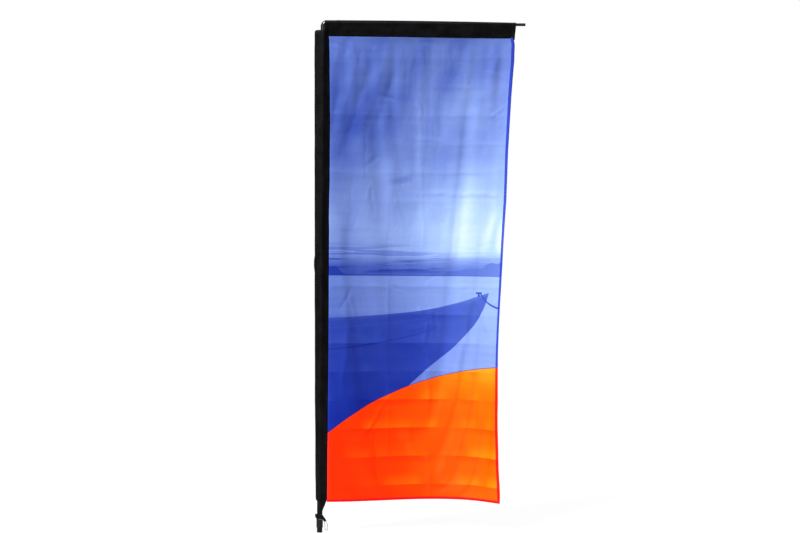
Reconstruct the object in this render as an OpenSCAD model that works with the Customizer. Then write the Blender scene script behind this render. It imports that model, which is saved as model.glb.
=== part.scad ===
// Rectangular flag on a two-section pole with a horizontal top arm.
// Millimetres. Origin: centre of the pole's lower end face. +Z runs up the pole,
// +X runs along the top arm, and -Y is the printed front of the flag.

/* [Pole] */
// Outside diameter of both pole tubes
pole_d = 25; // [24:0.5:27]
// Wall thickness of both pole tubes
pole_wall = 1.75; // [1.5:0.05:2.25]
// Height at which the upper section stands on the lower one
joint_z = 1246; // [1000:1:1400]
// Length of the bonded ferrule around the lower tube's mouth
ferrule_len = 80; // [50:1:120]
// Height of the foot collar's lower end
collar_z = 22; // [15:1:24]
// Diameter of the reamed socket in the pole's foot, which takes the ground spindle
spindle_socket_d = 22; // [21.8:0.05:22]
// Depth of the socket, up to the stop that the spindle's tip meets
spindle_depth = 130; // [100:1:135]

/* [Arm] */
// Height of the arm's centreline
arm_z = 2286.5; // [2200:0.5:2400]
// Distance from the pole's axis to the arm's tip
arm_reach = 907; // [880:1:960]
// Diameter of the arm at the elbow
arm_butt_d = 16; // [14:0.5:17]
// Diameter of the arm at its tip
arm_tip_d = 13; // [12:0.5:13.5]

/* [Flag] */
// Flat width of the printed panel, from the pocket seam to the free edge
flag_w = 830; // [780:1:830]
// Height of the flag's lower edge
flag_bottom_z = 141; // [130:1:180]
// Depth of the top sleeve below the arm's centreline
sleeve_drop = 57.5; // [50:0.5:70]
// Width of the hems on the free edge and the lower edge
hem_w = 12; // [8:1:20]
// Out-of-plane belly of the panel just below the sleeve
belly_head = 80; // [40:1:90]
// Extra belly that builds up towards the lower edge
belly_growth = 95; // [40:1:100]
// Belly taken back where the lower hem gathers the cloth
belly_gather = 50; // [20:1:60]
// How far the belly moves towards the free edge at the bottom
belly_skew = 0.5; // [0:0.05:0.8]

/* [Pocket] */
// Distance from the pole's axis to the pocket's fold at the top
fold_top = 40; // [36:1:44]
// Distance from the pole's axis to the pocket's fold at the bottom
fold_bottom = 18.5; // [18:0.5:24]
// Distance from the pole's axis to the panel seam at the top
seam_top = 24; // [22.5:0.5:26]
// Distance from the pole's axis to the panel seam further down
seam_side = 32.5; // [30:0.5:34]

/* [Cloth and fits] */
// Thickness of one layer of cloth
cloth_t = 0.6; // [0.4:0.1:0.7]
// Radial clearance of each running fit
running_gap = 0.05; // [0.02:0.01:0.08]
// Clearance between the cloth and the parts that pass through it
cloth_gap = 0.4; // [0.3:0.05:0.5]
// Diameter of the elastic cord
cord_d = 2.5; // [2:0.1:3]

/* [Hidden] */
$fn = 48;
eps = 0.01;
// how far a cut runs past the face that it opens
cut = 1;
pole_r = pole_d / 2;
bore_r = pole_r - pole_wall;

// ferrule and collar
ferrule_r = pole_r + 2.2;
ring_chamfer = 2;
collar_r = pole_r + 2.25;
collar_top_z = 72;

// spindle stop and its rivets
stop_h = 30;
dimple_r = 6;
dimple_h = 4;
stop_rivet_r = 1.6;
stop_rivet_z = spindle_depth + 20;

// spigot of the section joint
spigot_wall = 2;
spigot_below = 120;
spigot_above = 100;
spigot_r = bore_r - running_gap;
spigot_rivet_r = 2;
spigot_rivet_z = joint_z + 50;
nose_h = 14;
nose_plug_h = 12;
nose_land = 2;
nose_taper = 3.3;
nose_gap = 0.2;
rivet_head_h = 1;

// elbow, bush and arm
leg_r = pole_r;
bend_r = 13;
elbow_foot_z = arm_z - 43.5;
flange_h = 3;
tube_top_z = elbow_foot_z - flange_h;
bush_len = 40;
stub_r = 8;
stub_len = 38;
arm_socket_r = arm_butt_d / 2 + running_gap;
socket_x = 18;
elbow_end_x = 60;
arm_bore_r = 4;
cap_h = 3;
cap_plug_h = 12;
cap_edge = 1;

// pocket and sleeve
pocket_bottom_z = flag_bottom_z + 3;
pocket_top_z = arm_z - 30.5;
pocket_corner = 5;
pocket_r = ferrule_r + cloth_gap;
seam_w = 6;
seam_gap = 0.05;
fold_t = 2 * cloth_t;
fold_power = 0.75;
seam_ease = 200;
sleeve_start_x = 13.5;
sleeve_end_x = seam_top + flag_w + 10;
sleeve_bottom_z = arm_z - sleeve_drop;
sleeve_elbow_r = leg_r + cloth_gap;
sleeve_arm_r = arm_butt_d / 2 + cloth_gap;
// stations of the sleeve over the arm: X, and how far its crease stands off the rod
sleeve_elbow_crease = 0.8;
sleeve_end_crease = 0.4;
sleeve_creases = [[75, 5.2], [450, 5], [600, 2.8], [730, 1.3], [sleeve_end_x, sleeve_end_crease]];
sleeve_notch_x = seam_top + 1.5;
binding_w = 10;
arc_steps = 8;
pocket_levels = 9;

// panel grid
panel_cols = 16;
panel_rows = 20;
hem_t = 2 * cloth_t;
belly_quick = 0.14;
gather_power = 8;

// tie strap: a slanted band round the pole, a strap up to the pocket, a short tail
band_z = 71;
band_h = 19;
band_slant = 10;
band_in_r = ferrule_r + 1.3;
band_t = 2.8;
band_left = -1.5;
band_right = 0;
strap_t = 0.8;
// direction in which the strap's thickness builds up, away from the pole
strap_out = [0.35, -0.9, 0];
// each station: height, then X and Y of the strap's left and right edges
strap_stations = [
    [160, 10, -13, 31.5, -1.8],
    [144, 9, -13.6, 31, -2.2],
    [120, 2, -17, 22, -10],
    [96, -5, -17.2, 13, -16.6],
    [72, -9, -17.2, 9, -17.2]
];
tail_start = [13, -15.6, 74];
tail_len = 27;
tail_w = 9;
tail_t = 2.4;
tail_turn = 38;

// route of the elastic cord, from the band's lower edge to the tail's end
cord_route = [
    [-3, -17.6, 62], [4, -18.4, 60.5], [11, -18.2, 60], [17, -17.5, 57.5], [21.5, -16.8, 51],
    [23.8, -16.4, 42], [24.8, -16.2, 32], [25.5, -16, 22], [27, -16, 15.5], [31, -16, 11.8],
    [35.2, -16, 15], [36.8, -16, 23], [36, -16, 33], [33.5, -15.8, 43], [30, -15.2, 51]
];
cord_sides = 8;

// ---- pole ----

module tube(r_out, r_in, z_low, z_high) {
    difference() {
        translate([0, 0, z_low]) cylinder(r = r_out, h = z_high - z_low);
        translate([0, 0, z_low - cut]) cylinder(r = r_in, h = z_high - z_low + 2 * cut);
    }
}

// a ring on the tube, chamfered at both ends
module pole_ring(r_out, z_low, z_high) {
    rotate_extrude() polygon([
        [pole_r, z_low], [r_out - ring_chamfer / 2, z_low], [r_out, z_low + ring_chamfer],
        [r_out, z_high - ring_chamfer], [r_out - ring_chamfer / 2, z_high], [pole_r, z_high]
    ]);
}

// two rivets across the pole, front and back, from radius r_in to the tube's surface
module rivet_pair(r, r_in, z) {
    for (turn = [0, 180]) rotate([0, 0, turn]) translate([0, 0, z]) rotate([90, 0, 0]) {
        translate([0, 0, r_in]) cylinder(r = r, h = pole_r + rivet_head_h / 2 - r_in);
        translate([0, 0, pole_r]) cylinder(r1 = 2 * r, r2 = 1.4 * r, h = rivet_head_h);
    }
}

// the holes that a pair of rivets sits in
module rivet_holes(r, r_in, z) {
    for (turn = [0, 180]) rotate([0, 0, turn]) translate([0, 0, z]) rotate([90, 0, 0])
        translate([0, 0, r_in]) cylinder(r = r, h = pole_r);
}

module lower_tube() {
    color("#1b1b1d") difference() {
        tube(pole_r, bore_r, 0, joint_z);
        translate([0, 0, -cut]) cylinder(d = spindle_socket_d, h = spindle_depth + cut);
        rivet_holes(stop_rivet_r, bore_r - cut, stop_rivet_z);
    }
}

module foot_collar() {
    color("#202022") pole_ring(collar_r, collar_z, collar_top_z);
}

module socket_stop() {
    color("#d8d8d2") difference() {
        translate([0, 0, spindle_depth]) cylinder(r = bore_r, h = stop_h);
        translate([0, 0, spindle_depth - eps]) cylinder(r1 = dimple_r, r2 = 1, h = dimple_h);
        rivet_holes(stop_rivet_r, bore_r / 2, stop_rivet_z);
    }
}

module stop_rivets() {
    color("#b9bbc0") rivet_pair(stop_rivet_r, bore_r / 2, stop_rivet_z);
}

module joint_ferrule() {
    color("#1b1b1d") pole_ring(ferrule_r, joint_z - ferrule_len, joint_z);
}

module upper_tube() {
    color("#1b1b1d") difference() {
        tube(pole_r, bore_r, joint_z, tube_top_z);
        rivet_holes(spigot_rivet_r, bore_r - cut, spigot_rivet_z);
    }
}

// bonded in the upper tube, a running fit in the lower one
module joint_spigot() {
    color("#b9bbc0") difference() {
        union() {
            translate([0, 0, joint_z]) cylinder(r = bore_r, h = spigot_above);
            translate([0, 0, joint_z - spigot_below]) cylinder(r = spigot_r, h = spigot_below);
        }
        translate([0, 0, joint_z - spigot_below - cut])
            cylinder(r = spigot_r - spigot_wall, h = spigot_below + spigot_above + 2 * cut);
        rivet_holes(spigot_rivet_r, spigot_r - spigot_wall - cut, spigot_rivet_z);
    }
}

// tapered plug that guides the spigot into the lower tube
module spigot_nose() {
    nose_z = joint_z - spigot_below;
    nose_r = spigot_r - nose_gap;
    color("#2a2a2c") rotate_extrude() polygon([
        [0, nose_z - nose_h], [nose_r - nose_taper, nose_z - nose_h], [nose_r, nose_z - nose_land],
        [nose_r, nose_z], [spigot_r - spigot_wall, nose_z],
        [spigot_r - spigot_wall, nose_z + nose_plug_h], [0, nose_z + nose_plug_h]
    ]);
}

module spigot_rivets() {
    color("#b9bbc0") rivet_pair(spigot_rivet_r, spigot_r - spigot_wall, spigot_rivet_z);
}

// flanged bush in the upper tube's mouth, in which the elbow turns
module top_bush() {
    color("#e4e2da") rotate_extrude() polygon([
        [stub_r + running_gap, tube_top_z - bush_len], [bore_r, tube_top_z - bush_len],
        [bore_r, tube_top_z], [pole_r, tube_top_z], [pole_r, elbow_foot_z],
        [stub_r + running_gap, elbow_foot_z]
    ]);
}

// ---- elbow and arm ----

module elbow() {
    color("#161618") difference() {
        union() {
            translate([0, 0, elbow_foot_z - stub_len]) cylinder(r = stub_r, h = stub_len + cut);
            translate([0, 0, elbow_foot_z]) cylinder(r = leg_r, h = arm_z - bend_r - elbow_foot_z);
            translate([bend_r, 0, arm_z - bend_r]) rotate([90, 0, 0]) rotate([0, 0, 90])
                rotate_extrude(angle = 90) translate([bend_r, 0]) circle(r = leg_r);
            translate([bend_r, 0, arm_z]) rotate([0, 90, 0]) cylinder(r = leg_r, h = elbow_end_x - bend_r);
        }
        translate([socket_x, 0, arm_z]) rotate([0, 90, 0]) cylinder(r = arm_socket_r, h = elbow_end_x);
    }
}

module arm_tube() {
    color("#17171a") translate([0, 0, arm_z]) rotate([0, 90, 0]) rotate_extrude() polygon([
        [arm_bore_r, socket_x], [arm_butt_d / 2, socket_x], [arm_butt_d / 2, elbow_end_x],
        [arm_tip_d / 2, arm_reach - cap_h], [arm_bore_r, arm_reach - cap_h]
    ]);
}

module arm_tip_cap() {
    color("#111113") translate([0, 0, arm_z]) rotate([0, 90, 0]) rotate_extrude() polygon([
        [0, arm_reach - cap_h - cap_plug_h], [arm_bore_r, arm_reach - cap_h - cap_plug_h],
        [arm_bore_r, arm_reach - cap_h], [arm_tip_d / 2, arm_reach - cap_h],
        [arm_tip_d / 2, arm_reach - cap_edge], [arm_tip_d / 2 - cap_edge, arm_reach], [0, arm_reach]
    ]);
}

// ---- cloth ----

// outline of a cloth tube pulled round a rod of radius r: a fold at distance a on one
// side, and a seam 2 * tip thick at distance b on the other side
function pull_loop(a, b, r, tip) = let (fold_turn = acos(r / a), seam_turn = acos(r / b)) [
    [b, -tip],
    [b, tip],
    for (i = [0:arc_steps])
        let (t = seam_turn + (180 - fold_turn - seam_turn) * i / arc_steps) [r * cos(t), r * sin(t)],
    [-a, 0],
    for (i = [0:arc_steps])
        let (t = 180 + fold_turn + (180 - fold_turn - seam_turn) * i / arc_steps) [r * cos(t), r * sin(t)]
];

// closed tube between two stacks of rings, the outer stack first
module lofted_tube(outer, inner) {
    n = len(outer[0]);
    levels = len(outer);
    all_points = [for (ring = outer) each ring, for (ring = inner) each ring];
    function at(stack, level, i) = (stack * levels + level) * n + i % n;
    faces = [
        for (k = [0:levels - 2]) for (i = [0:n - 1]) each [
            [at(0, k, i), at(0, k, i + 1), at(0, k + 1, i)],
            [at(0, k, i + 1), at(0, k + 1, i + 1), at(0, k + 1, i)],
            [at(1, k, i), at(1, k + 1, i), at(1, k, i + 1)],
            [at(1, k, i + 1), at(1, k + 1, i), at(1, k + 1, i + 1)]
        ],
        for (i = [0:n - 1]) each [
            [at(0, 0, i), at(1, 0, i), at(0, 0, i + 1)],
            [at(0, 0, i + 1), at(1, 0, i), at(1, 0, i + 1)],
            [at(0, levels - 1, i), at(0, levels - 1, i + 1), at(1, levels - 1, i)],
            [at(0, levels - 1, i + 1), at(1, levels - 1, i + 1), at(1, levels - 1, i)]
        ]
    ];
    polyhedron(all_points, [for (f = faces) [f[2], f[1], f[0]]]);
}

// the pocket's fold comes in towards the pole at the bottom, and its seam at the top
function pocket_share(z) = (z - pocket_bottom_z) / (pocket_top_z - pocket_bottom_z);
function fold_x(z) = fold_bottom + (fold_top - fold_bottom) * pow(pocket_share(z), fold_power);
function seam_x(z) = seam_side - (seam_side - seam_top) * exp((z - pocket_top_z) / seam_ease);
function pocket_ring(z, inset, r, side, tip) =
    [for (p = pull_loop(fold_x(z) - inset, seam_x(z) - side, r, tip)) [p.x, p.y, z]];

module pole_pocket() {
    side_h = pocket_top_z - pocket_corner - pocket_bottom_z;
    heights = [for (k = [0:pocket_levels]) pocket_bottom_z + side_h * k / pocket_levels, pocket_top_z];
    function corner(z) = z == pocket_top_z ? pocket_corner / 2 : 0;
    color("#17171a") lofted_tube(
        [for (z = heights) pocket_ring(z, corner(z), pocket_r + cloth_t, 0, cloth_t)],
        [for (z = heights) pocket_ring(z, corner(z) + fold_t, pocket_r, seam_w, seam_gap)]
    );
}

// ring of the sleeve at x: the crease points up, and the seam points down
function sleeve_ring(x, r, crease, drop, tip) =
    [for (p = pull_loop(r + crease, drop, r, tip)) [x, p.y, arm_z - p.x]];

// each station: X, radius inside, and crease
module sleeve_stretch(stations, extra) {
    lofted_tube(
        [for (s = stations) sleeve_ring(s[0], s[1] + cloth_t + extra, s[2], sleeve_drop, cloth_t + extra)],
        [for (s = stations) sleeve_ring(s[0], s[1], s[2], sleeve_drop - seam_w, seam_gap)]
    );
}

module top_sleeve() {
    color("#1a1a1d") difference() {
        sleeve_stretch([
            for (x = [sleeve_start_x, elbow_end_x + 1]) [x, sleeve_elbow_r, sleeve_elbow_crease],
            for (s = sleeve_creases) [min(s[0], sleeve_end_x - binding_w), sleeve_arm_r, s[1]]
        ], 0);
        translate([0, -pole_d, sleeve_bottom_z - cut])
            cube([sleeve_notch_x, 2 * pole_d, pocket_top_z - sleeve_bottom_z + cut + cloth_gap]);
    }
}

module sleeve_end_binding() {
    color("#131315") sleeve_stretch([
        for (x = [sleeve_end_x - binding_w, sleeve_end_x]) [x, sleeve_arm_r, sleeve_end_crease]
    ], cloth_t / 2);
}

// belly of the panel at a share of its height, 0 at the sleeve and 1 at the lower edge
function belly(share) = belly_head * (1 - exp(-share / belly_quick)) + belly_growth * share
    - belly_gather * pow(share, gather_power);
// distance from the seam to the free edge once the flat width has taken up the belly
function chord(share) = flag_w * (1 - pow(PI * belly(share) / flag_w, 2) / 4);

module flag_panel() {
    across = [for (i = [0:panel_cols]) (1 - hem_w / flag_w) * i / panel_cols, 1];
    drop = sleeve_bottom_z - flag_bottom_z;
    down = [for (j = [0:panel_rows]) (1 - hem_w / drop) * j / panel_rows, 1];
    columns = len(across);
    rows = len(down);
    function half_t(i, j) = (i >= panel_cols || j >= panel_rows ? hem_t : cloth_t) / 2;
    function place(i, j, side) = let (z = sleeve_bottom_z - drop * down[j]) [
        seam_x(z) + chord(down[j]) * across[i],
        belly(down[j]) * sin(180 * pow(across[i], 1 + belly_skew * down[j])) + side * half_t(i, j),
        z
    ];
    function at(side, i, j) = (side * rows + j) * columns + i;
    points = [
        for (side = [-1, 1]) for (j = [0:rows - 1]) for (i = [0:columns - 1]) place(i, j, side)
    ];
    faces = [
        for (j = [0:rows - 2]) for (i = [0:columns - 2]) each [
            [at(0, i, j), at(0, i + 1, j), at(0, i + 1, j + 1)],
            [at(0, i, j), at(0, i + 1, j + 1), at(0, i, j + 1)],
            [at(1, i, j), at(1, i + 1, j + 1), at(1, i + 1, j)],
            [at(1, i, j), at(1, i, j + 1), at(1, i + 1, j + 1)]
        ],
        for (i = [0:columns - 2]) each [
            [at(0, i, 0), at(1, i, 0), at(1, i + 1, 0)],
            [at(0, i, 0), at(1, i + 1, 0), at(0, i + 1, 0)],
            [at(0, i, rows - 1), at(1, i + 1, rows - 1), at(1, i, rows - 1)],
            [at(0, i, rows - 1), at(0, i + 1, rows - 1), at(1, i + 1, rows - 1)]
        ],
        for (j = [0:rows - 2]) each [
            [at(0, 0, j), at(1, 0, j + 1), at(1, 0, j)],
            [at(0, 0, j), at(0, 0, j + 1), at(1, 0, j + 1)],
            [at(0, columns - 1, j), at(1, columns - 1, j), at(1, columns - 1, j + 1)],
            [at(0, columns - 1, j), at(1, columns - 1, j + 1), at(0, columns - 1, j + 1)]
        ]
    ];
    color("#5a76d8") polyhedron(points, faces);
}

// ---- tie ----

module slot_outline(r) {
    translate([band_left, 0]) circle(r = r);
    translate([band_left, -r]) square([band_right - band_left, 2 * r]);
    translate([band_right, 0]) circle(r = r);
}

module tie_band() {
    intersection() {
        translate([0, 0, band_z - 2 * band_h]) linear_extrude(4 * band_h) difference() {
            slot_outline(band_in_r + band_t);
            slot_outline(band_in_r);
        }
        translate([0, 0, band_z]) rotate([0, band_slant, 0])
            cube([4 * pole_d, 4 * pole_d, band_h], center = true);
    }
}

module strap_ribbon() {
    n = len(strap_stations);
    skin = strap_t * strap_out;
    points = [
        for (s = strap_stations) each [
            [s[1], s[2], s[0]], [s[3], s[4], s[0]],
            [s[3], s[4], s[0]] + skin, [s[1], s[2], s[0]] + skin
        ]
    ];
    faces = [
        [0, 1, 2], [0, 2, 3],
        for (k = [0:n - 2]) for (i = [0:3]) let (p = 4 * k + i, q = 4 * k + (i + 1) % 4) each [
            [p, p + 4, q], [q, p + 4, q + 4]
        ],
        [4 * n - 4, 4 * n - 2, 4 * n - 3], [4 * n - 4, 4 * n - 1, 4 * n - 2]
    ];
    polyhedron(points, faces);
}

module strap_tail() {
    translate(tail_start) rotate([0, -tail_turn, 0]) translate([-tail_w / 2, 0, -tail_len])
        cube([tail_w, tail_t, tail_len]);
}

module tie_strap() {
    color("#1a1a1d") {
        tie_band();
        strap_ribbon();
        strap_tail();
    }
}

// tube swept along the route, with one ring at each point and one between two points
module cord_loop() {
    path = [
        for (i = [0:len(cord_route) - 2]) each [cord_route[i], (cord_route[i] + cord_route[i + 1]) / 2],
        cord_route[len(cord_route) - 1]
    ];
    n = len(path);
    function heading(i) = let (d = path[min(i + 1, n - 1)] - path[max(i - 1, 0)]) d / norm(d);
    function side_way(i) = let (s = cross(heading(i), [0, 1, 0])) s / norm(s);
    points = [
        for (i = [0:n - 1]) let (u = side_way(i), v = cross(heading(i), u))
            for (k = [0:cord_sides - 1]) let (t = 360 * k / cord_sides)
                path[i] + cord_d / 2 * (cos(t) * u + sin(t) * v)
    ];
    faces = [
        [for (k = [0:cord_sides - 1]) k],
        for (i = [0:n - 2]) for (k = [0:cord_sides - 1])
            let (p = i * cord_sides + k, q = i * cord_sides + (k + 1) % cord_sides) each [
                [p, p + cord_sides, q], [q, p + cord_sides, q + cord_sides]
            ],
        [for (k = [cord_sides - 1:-1:0]) (n - 1) * cord_sides + k]
    ];
    color("#b8b8bc") polyhedron(points, faces);
}

lower_tube();
foot_collar();
socket_stop();
stop_rivets();
joint_ferrule();
upper_tube();
joint_spigot();
spigot_nose();
spigot_rivets();
top_bush();
elbow();
pole_pocket();
top_sleeve();
sleeve_end_binding();
flag_panel();
tie_strap();
cord_loop();
arm_tube();
arm_tip_cap();
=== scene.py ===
"""Looks of the rectangular flag on its pole, in metres: cloth, print, webbing, cord and finishes."""

import math

import bmesh
import bpy
import numpy as np
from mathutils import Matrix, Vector, noise


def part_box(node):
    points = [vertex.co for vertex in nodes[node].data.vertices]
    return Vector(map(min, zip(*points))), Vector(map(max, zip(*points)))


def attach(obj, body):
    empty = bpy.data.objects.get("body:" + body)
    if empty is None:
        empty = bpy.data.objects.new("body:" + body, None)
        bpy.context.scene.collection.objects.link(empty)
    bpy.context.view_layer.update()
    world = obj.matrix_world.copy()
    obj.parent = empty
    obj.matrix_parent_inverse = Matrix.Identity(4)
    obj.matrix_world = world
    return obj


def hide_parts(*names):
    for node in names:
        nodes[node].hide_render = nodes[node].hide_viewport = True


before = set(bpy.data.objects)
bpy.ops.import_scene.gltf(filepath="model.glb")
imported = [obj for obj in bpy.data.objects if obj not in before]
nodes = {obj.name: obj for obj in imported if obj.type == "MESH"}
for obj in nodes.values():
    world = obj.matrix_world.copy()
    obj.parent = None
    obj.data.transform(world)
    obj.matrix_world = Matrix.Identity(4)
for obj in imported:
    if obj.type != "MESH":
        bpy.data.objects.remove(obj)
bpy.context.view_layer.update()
scene = bpy.context.scene

# ---------------------------------------------------------------- sizes, from the frame

panel_low, panel_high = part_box("flag_panel")
pocket_low, pocket_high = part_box("pole_pocket")
binding_low, binding_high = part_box("sleeve_end_binding")
tip_low, tip_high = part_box("arm_tip_cap")
ferrule_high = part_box("joint_ferrule")[1]

POLE_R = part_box("lower_tube")[1].x
FERRULE_R = ferrule_high.x
ARM_Z = (tip_low.z + tip_high.z) / 2

# The pocket's seam: its X at the top and further down, and the height over which it moves out.
SEAM_TOP, SEAM_SIDE, SEAM_EASE = 0.024, 0.0325, 0.200
# The pocket's folded edge: how far it stands off the pole's axis at the bottom and at the top.
FOLD_BOTTOM, FOLD_TOP, FOLD_POWER = 0.0185, 0.040, 0.75

# The printed panel, its hems, and how far it reaches under the pocket's seam.
FLAG_W = 0.830
FLAG_TOP = panel_high.z
FLAG_H = panel_high.z - panel_low.z
HEM_W = 0.015
BOTTOM_HEM_W = 0.012
SEAM_LAP = 0.0025
# How much longer than its box the hanging panel is, and how much more at its free edge.
FLAG_SAG, EDGE_SAG = 0.0045, 0.003
# How far it hangs back: below the sleeve, more with the height, and less where its lower edge gathers.
BELLY_HEAD, BELLY_GROWTH, BELLY_GATHER = 0.080, 0.095, 0.050
BELLY_QUICK, GATHER_POWER, BELLY_SKEW = 0.14, 8, 0.5

CLOTH_T, PANEL_T, BINDING_T = 0.0005, 0.0012, 0.0008

CAMERA_PLACE, CAMERA_ROLL = (0.352, -7.485, 1.1965), -0.44
LENS, SENSOR_W = 75, 36


def srgb(r, g, b):
    """A linear colour from three sRGB values of 0 to 255."""
    shares = [c / 255 for c in (r, g, b)]
    return tuple(c / 12.92 if c <= 10 / 255 else ((c + 0.055) / 1.055) ** 2.4 for c in shares) + (1.0,)


def ease(low, high, x):
    """0 below low, 1 above high, smooth between."""
    t = np.clip((np.asarray(x, float) - low) / (high - low), 0, 1)
    return t * t * (3 - 2 * t)


def waves(x, y, seed):
    """Smooth noise at a point, mostly from -1 to 1 and the same on each run."""
    return noise.fractal((x, y, seed * 7.3), 0.6, 2.0, 3) * 1.2


# ---------------------------------------------------------------- camera

def make_camera():
    data = bpy.data.cameras.new("camera")
    data.lens, data.sensor_width = LENS, SENSOR_W
    data.dof.use_dof = False
    data.clip_start, data.clip_end = 0.1, 60
    cam = bpy.data.objects.new("camera", data)
    scene.collection.objects.link(cam)
    cam.location = CAMERA_PLACE
    cam.rotation_euler = (math.pi / 2, math.radians(CAMERA_ROLL), 0)
    scene.camera = cam
    return cam


# ---------------------------------------------------------------- mesh helpers

def mesh_object(name, points, faces, uv=None):
    """A mesh with smooth faces, and with uv as one pair for each corner of each face."""
    mesh = bpy.data.meshes.new(name)
    mesh.from_pydata([tuple(p) for p in points], [], faces)
    if uv is not None:
        layer = mesh.uv_layers.new(name="flat")
        layer.data.foreach_set("uv", np.asarray(uv, float).ravel())
    mesh.shade_smooth()
    obj = bpy.data.objects.new(name, mesh)
    scene.collection.objects.link(obj)
    return obj


def grid_faces(rows, columns, closed=False):
    """Quads over rows of points; closed joins each row's last point to its first."""
    last = columns if closed else columns - 1
    faces = []
    for j in range(rows - 1):
        here, below = j * columns, (j + 1) * columns
        for i in range(last):
            k = (i + 1) % columns
            faces.append((here + i, below + i, below + k, here + k))
    return faces


def loft(name, rings, along):
    """A tube through closed rings of points. along is each ring's place on the flat cloth, in metres."""
    rows, columns = len(rings), len(rings[0])
    points = np.array(rings, float)
    around = np.zeros((rows, columns + 1))
    steps = np.linalg.norm(np.diff(np.concatenate([points, points[:, :1]], axis=1), axis=1), axis=2)
    around[:, 1:] = np.cumsum(steps, axis=1)
    uv = []
    for j in range(rows - 1):
        for i in range(columns):
            uv += [(around[j, i], along[j]), (around[j + 1, i], along[j + 1]),
                   (around[j + 1, i + 1], along[j + 1]), (around[j, i + 1], along[j])]
    return mesh_object(name, points.reshape(-1, 3), grid_faces(rows, columns, True), uv)


def thicken(obj, thickness, offset=0.0, group=None, thin=0.4):
    """Gives a sheet its thickness. Outside the group, it is only the share thin of it."""
    mod = obj.modifiers.new("thickness", "SOLIDIFY")
    mod.thickness, mod.offset = thickness, offset
    mod.use_even_offset = False
    if group:
        mod.vertex_group, mod.thickness_vertex_group = group, thin
    return obj


def subdivide(obj, levels):
    mod = obj.modifiers.new("subdivision", "SUBSURF")
    mod.levels = mod.render_levels = levels
    return obj


def ribbon(name, path, sides, width, thickness):
    """A flat strap along path. sides is, for each point, the direction across the strap."""
    path = [Vector(p) for p in path]
    n = len(path)
    rings, along, run = [], [], 0.0
    for i, p in enumerate(path):
        heading = (path[min(i + 1, n - 1)] - path[max(i - 1, 0)]).normalized()
        across = Vector(sides[i])
        across = (across - across.dot(heading) * heading).normalized()
        up = across.cross(heading)
        w = float(width[i]) if hasattr(width, "__len__") else width
        half, t = w / 2, thickness / 2
        edge = min(half * 0.5, t)
        outline = [(-half, 0), (-half + edge, -t)]
        outline += [(x * (half - edge), -t) for x in (-0.5, 0, 0.5)]
        outline += [(half - edge, -t), (half, 0), (half - edge, t)]
        outline += [(x * (half - edge), t) for x in (0.5, 0, -0.5)] + [(-half + edge, t)]
        rings.append([p + x * across + y * up for x, y in outline])
        if i:
            run += (p - path[i - 1]).length
        along.append(run)
    obj = loft(name, rings, along)
    count = len(rings[0])
    bm = bmesh.new()
    bm.from_mesh(obj.data)
    bm.verts.ensure_lookup_table()
    bm.faces.new([bm.verts[i] for i in range(count)])
    bm.faces.new([bm.verts[(n - 1) * count + i] for i in reversed(range(count))])
    bmesh.ops.recalc_face_normals(bm, faces=bm.faces)
    bm.to_mesh(obj.data)
    bm.free()
    obj.data.shade_smooth()
    return obj


def smooth_path(points, per_span):
    """Catmull-Rom line through points."""
    points = [Vector(p) for p in points]
    out = []
    for k in range(len(points) - 1):
        a, b = points[max(k - 1, 0)], points[k]
        c, d = points[k + 1], points[min(k + 2, len(points) - 1)]
        for s in range(per_span):
            t = s / per_span
            square, cube = 2 * a - 5 * b + 4 * c - d, 3 * b - a - 3 * c + d
            out.append(0.5 * (2 * b + (c - a) * t + square * t * t + cube * t ** 3))
    return out + [points[-1]]


# ---------------------------------------------------------------- material helpers

class Value:
    """A number in a node tree, so that a pattern can be written as a formula."""

    def __init__(self, tree, socket):
        self.tree, self.socket = tree, socket

    def _op(self, operation, *others, swap=False):
        node = self.tree.nodes.new("ShaderNodeMath")
        node.operation = operation
        inputs = [self, *others]
        if swap:
            inputs.reverse()
        for socket, value in zip(node.inputs, inputs):
            if isinstance(value, Value):
                self.tree.links.new(value.socket, socket)
            else:
                socket.default_value = value
        return Value(self.tree, node.outputs[0])

    def __add__(self, other):
        return self._op("ADD", other)

    def __radd__(self, other):
        return self._op("ADD", other)

    def __sub__(self, other):
        return self._op("SUBTRACT", other)

    def __rsub__(self, other):
        return self._op("SUBTRACT", other, swap=True)

    def __mul__(self, other):
        return self._op("MULTIPLY", other)

    def __truediv__(self, other):
        return self._op("DIVIDE", other)

    def most(self, other):
        return self._op("MAXIMUM", other)

    def size(self):
        return self._op("ABSOLUTE")

    def wrap(self, period):
        return self._op("WRAP", period, 0.0)

    def sine(self):
        return self._op("SINE")

    def ramp(self, low, high, start=0.0, end=1.0):
        """start below low, end above high, smooth between."""
        node = self.tree.nodes.new("ShaderNodeMapRange")
        node.interpolation_type, node.clamp = "SMOOTHSTEP", True
        self.tree.links.new(self.socket, node.inputs["Value"])
        for name, value in zip(("From Min", "From Max", "To Min", "To Max"), (low, high, start, end)):
            node.inputs[name].default_value = value
        return Value(self.tree, node.outputs[0])

    def curve(self, points):
        """A smooth line through (x, y) points, x and y from 0 to 1."""
        node = self.tree.nodes.new("ShaderNodeFloatCurve")
        line = node.mapping.curves[0]
        line.points[0].location, line.points[1].location = points[0], points[-1]
        for p in points[1:-1]:
            line.points.new(*p)
        node.mapping.update()
        self.tree.links.new(self.socket, node.inputs["Value"])
        return Value(self.tree, node.outputs[0])


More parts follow.
